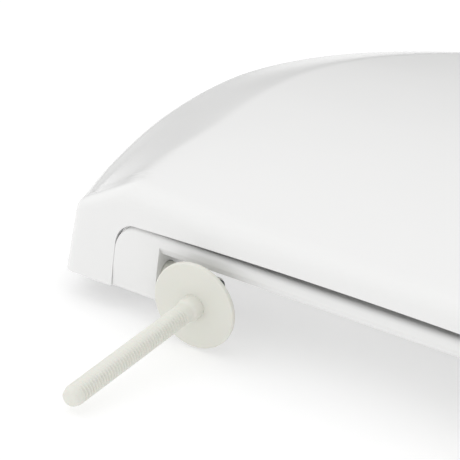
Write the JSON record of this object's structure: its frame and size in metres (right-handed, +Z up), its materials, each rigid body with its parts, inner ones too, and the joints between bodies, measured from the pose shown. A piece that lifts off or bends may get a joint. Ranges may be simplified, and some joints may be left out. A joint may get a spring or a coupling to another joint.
{
  "type": "toilet seat",
  "caption": "Toilet seat with a wrap-over lid on a damped rear hinge and two swing-back hinge posts with round base discs and plastic fixing bolts.",
  "frame": {"origin": "centre of the bounding box in plan, at the bottom of the bumpers", "axes": "+Z up, +Y from the hinge towards the front of the seat, X along the hinge"},
  "size_m": [0.379, 0.4996, 0.0626],
  "materials": {
    "white_gloss": "smooth white moulded plastic",
    "ivory_plastic": "satin ivory plastic",
    "natural_plastic": "unpainted plastic",
    "pad_rubber": "soft pale rubber",
    "dark_metal": "dark grey metal",
    "steel": "turned steel"
  },
  "bodies": {
    "seat": {"seat_ring": "white_gloss", "seat_underside": "white_gloss", "left_front_seat_bumper": "pad_rubber", "right_front_seat_bumper": "pad_rubber", "left_rear_seat_bumper": "pad_rubber", "right_rear_seat_bumper": "pad_rubber", "left_damper": "natural_plastic", "right_damper": "natural_plastic"},
    "lid": {"lid_shell": "white_gloss", "left_lid_bush": "natural_plastic", "right_lid_bush": "natural_plastic", "left_lid_shaft": "steel", "right_lid_shaft": "steel", "left_front_lid_bumper": "pad_rubber", "right_front_lid_bumper": "pad_rubber", "left_rear_lid_bumper": "pad_rubber", "right_rear_lid_bumper": "pad_rubber"},
    "left_post": {"left_hinge_post": "ivory_plastic", "left_hinge_pin": "dark_metal", "left_base_disc": "ivory_plastic", "left_fixing_bolt": "ivory_plastic"},
    "right_post": {"right_hinge_post": "ivory_plastic", "right_hinge_pin": "dark_metal", "right_base_disc": "ivory_plastic", "right_fixing_bolt": "ivory_plastic"}
  },
  "joints": [
    {"name": "lid_hinge", "type": "hinge", "parent": "seat", "child": "lid", "pos_m": [0, -0.15025, 0.022], "axis": [1, 0, 0], "range_deg": [0, 100]},
    {"name": "left_post_swing", "type": "hinge", "parent": "seat", "child": "left_post", "pos_m": [-0.0775, -0.15025, 0.022], "axis": [1, 0, 0], "range_deg": [0, 81]},
    {"name": "right_post_swing", "type": "hinge", "parent": "seat", "child": "right_post", "pos_m": [0.0775, -0.15025, 0.022], "axis": [1, 0, 0], "range_deg": [0, 81]}
  ],
  "couplings": [
    {"joint": "left_post_swing", "follows": "lid_hinge", "ratio": 0.81},
    {"joint": "right_post_swing", "follows": "lid_hinge", "ratio": 0.81}
  ]
}
